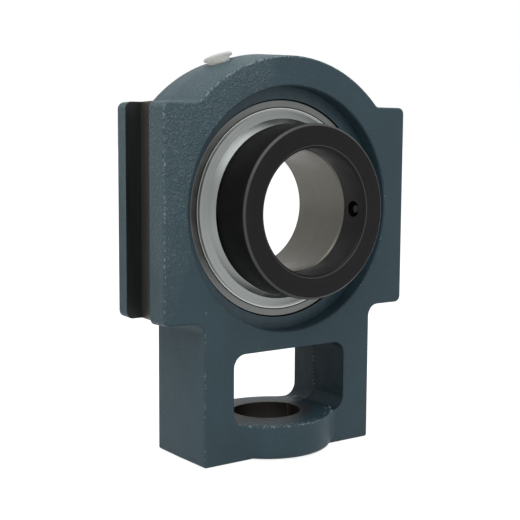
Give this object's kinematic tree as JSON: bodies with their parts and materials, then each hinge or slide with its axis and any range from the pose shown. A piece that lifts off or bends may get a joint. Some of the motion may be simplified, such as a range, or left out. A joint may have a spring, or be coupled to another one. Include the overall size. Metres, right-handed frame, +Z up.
{
  "type": "take-up housed bearing unit",
  "caption": "Cast take-up housing with guide slots and a nut window, carrying a self-aligning ball bearing with an eccentric locking collar.",
  "frame": {"origin": "on the ground under the middle of the unit's overall depth, on its plane of symmetry", "axes": "+Z is up from the foot towards the crown, +Y is along the shaft from the locking collar to the plain side, +X is across the guides"},
  "size_m": [0.146, 0.0732, 0.1972],
  "materials": {
    "painted_cast_iron": "satin",
    "plug_plastic": "matte",
    "bearing_steel": "satin",
    "cage_polyamide": "matte",
    "seal_rubber": "matte",
    "zinc_plated_sheet": "satin",
    "blackened_steel": "satin"
  },
  "bodies": {
    "housing": {"housing": "painted_cast_iron"},
    "plug": {"grease_plug": "plug_plastic"},
    "outer": {"outer_ring": "bearing_steel", "seal_front": "seal_rubber", "seal_rear": "seal_rubber"},
    "inner": {"inner_ring": "bearing_steel", "flinger_front": "zinc_plated_sheet", "flinger_rear": "zinc_plated_sheet"},
    "ball_set": {"cage": "cage_polyamide", "ball_01": "bearing_steel", "ball_02": "bearing_steel", "ball_03": "bearing_steel", "ball_04": "bearing_steel", "ball_05": "bearing_steel", "ball_06": "bearing_steel", "ball_07": "bearing_steel", "ball_08": "bearing_steel", "ball_09": "bearing_steel", "ball_10": "bearing_steel"},
    "collar": {"locking_collar": "blackened_steel"},
    "screw": {"set_screw": "blackened_steel"}
  },
  "joints": [
    {"name": "plug_pull", "type": "slide", "parent": "housing", "child": "plug", "axis": [-0.3811, 0, 0.9245], "range_m": [0, 0.012]},
    {"name": "outer_tilt", "type": "hinge", "parent": "housing", "child": "outer", "pos_m": [0, 0.00305, 0.1214], "axis": [1, 0, 0], "range_deg": [-5, 5]},
    {"name": "inner_spin", "type": "hinge", "parent": "outer", "child": "inner", "pos_m": [0, 0.00305, 0.1214], "axis": [0, 1, 0], "continuous": true},
    {"name": "cage_spin", "type": "hinge", "parent": "outer", "child": "ball_set", "pos_m": [0, 0.00305, 0.1214], "axis": [0, 1, 0], "continuous": true},
    {"name": "collar_lock", "type": "hinge", "parent": "inner", "child": "collar", "pos_m": [0, 0.00305, 0.1214], "axis": [0, 1, 0], "range_deg": [-14, 14]},
    {"name": "set_screw_feed", "type": "slide", "parent": "collar", "child": "screw", "axis": [-1, 0, 0], "range_m": [-0.006, 0.0015]}
  ],
  "couplings": [
    {"joint": "cage_spin", "follows": "inner_spin", "ratio": 0.40662}
  ]
}
